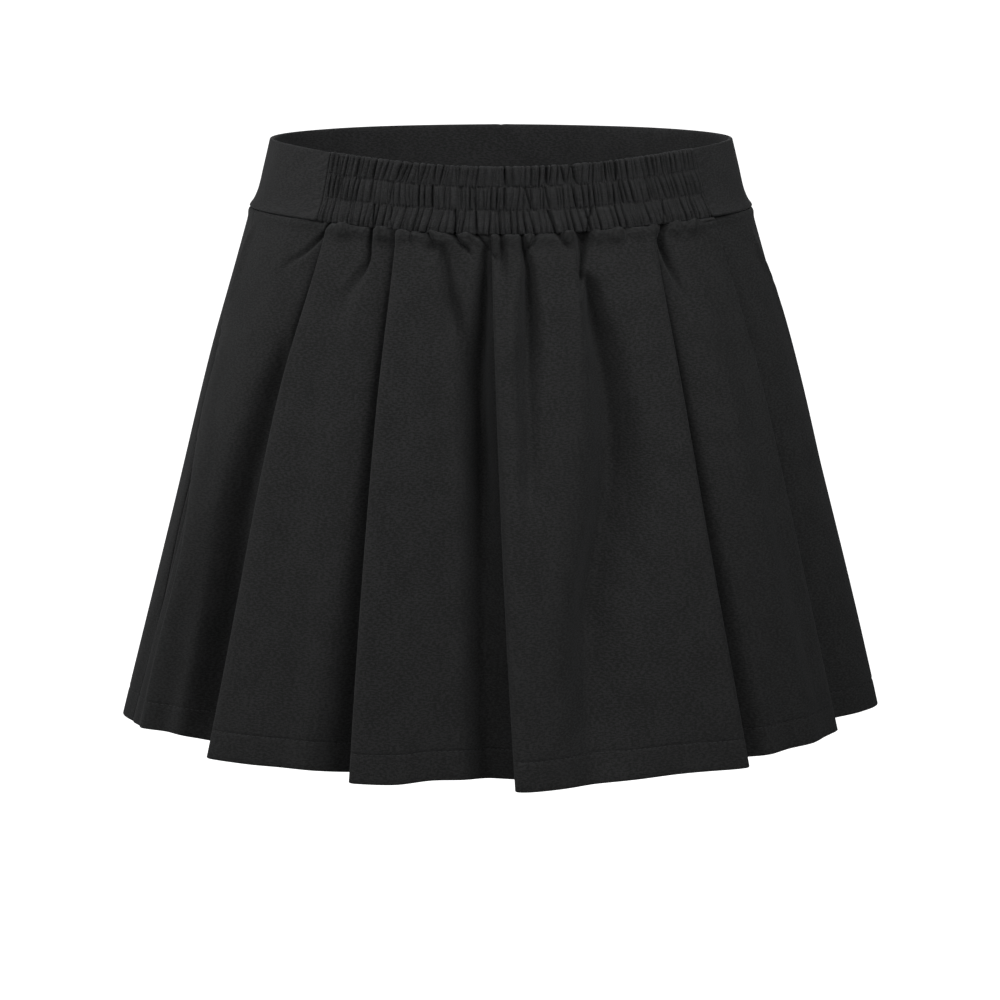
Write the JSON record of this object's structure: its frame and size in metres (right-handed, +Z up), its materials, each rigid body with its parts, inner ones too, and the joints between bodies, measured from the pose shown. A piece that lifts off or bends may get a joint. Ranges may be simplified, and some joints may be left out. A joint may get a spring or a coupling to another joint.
{
  "type": "tennis skort",
  "caption": "Black pleated tennis skort, hanging filled out as if worn: a shirred waistband, a flared knife-pleated skirt and plain shorts beneath it.",
  "frame": {"origin": "middle of the waist, halfway up the waistband at its sides", "axes": "+Z up through the waist, -Y out of the front, +X to the right of the picture, which is the wearer's left"},
  "size_m": [0.4692, 0.376, 0.3521],
  "materials": {
    "band_cloth": "matt black woven cloth, shirred on elastic at the front",
    "skirt_cloth": "matt black woven cloth, pleated",
    "shorts_knit": "matt black stretch knit"
  },
  "bodies": {
    "root": {"waistband_front": "band_cloth", "waistband_back": "band_cloth", "skirt_front": "skirt_cloth", "skirt_back": "skirt_cloth", "shorts_right": "shorts_knit", "shorts_left": "shorts_knit"}
  },
  "joints": []
}
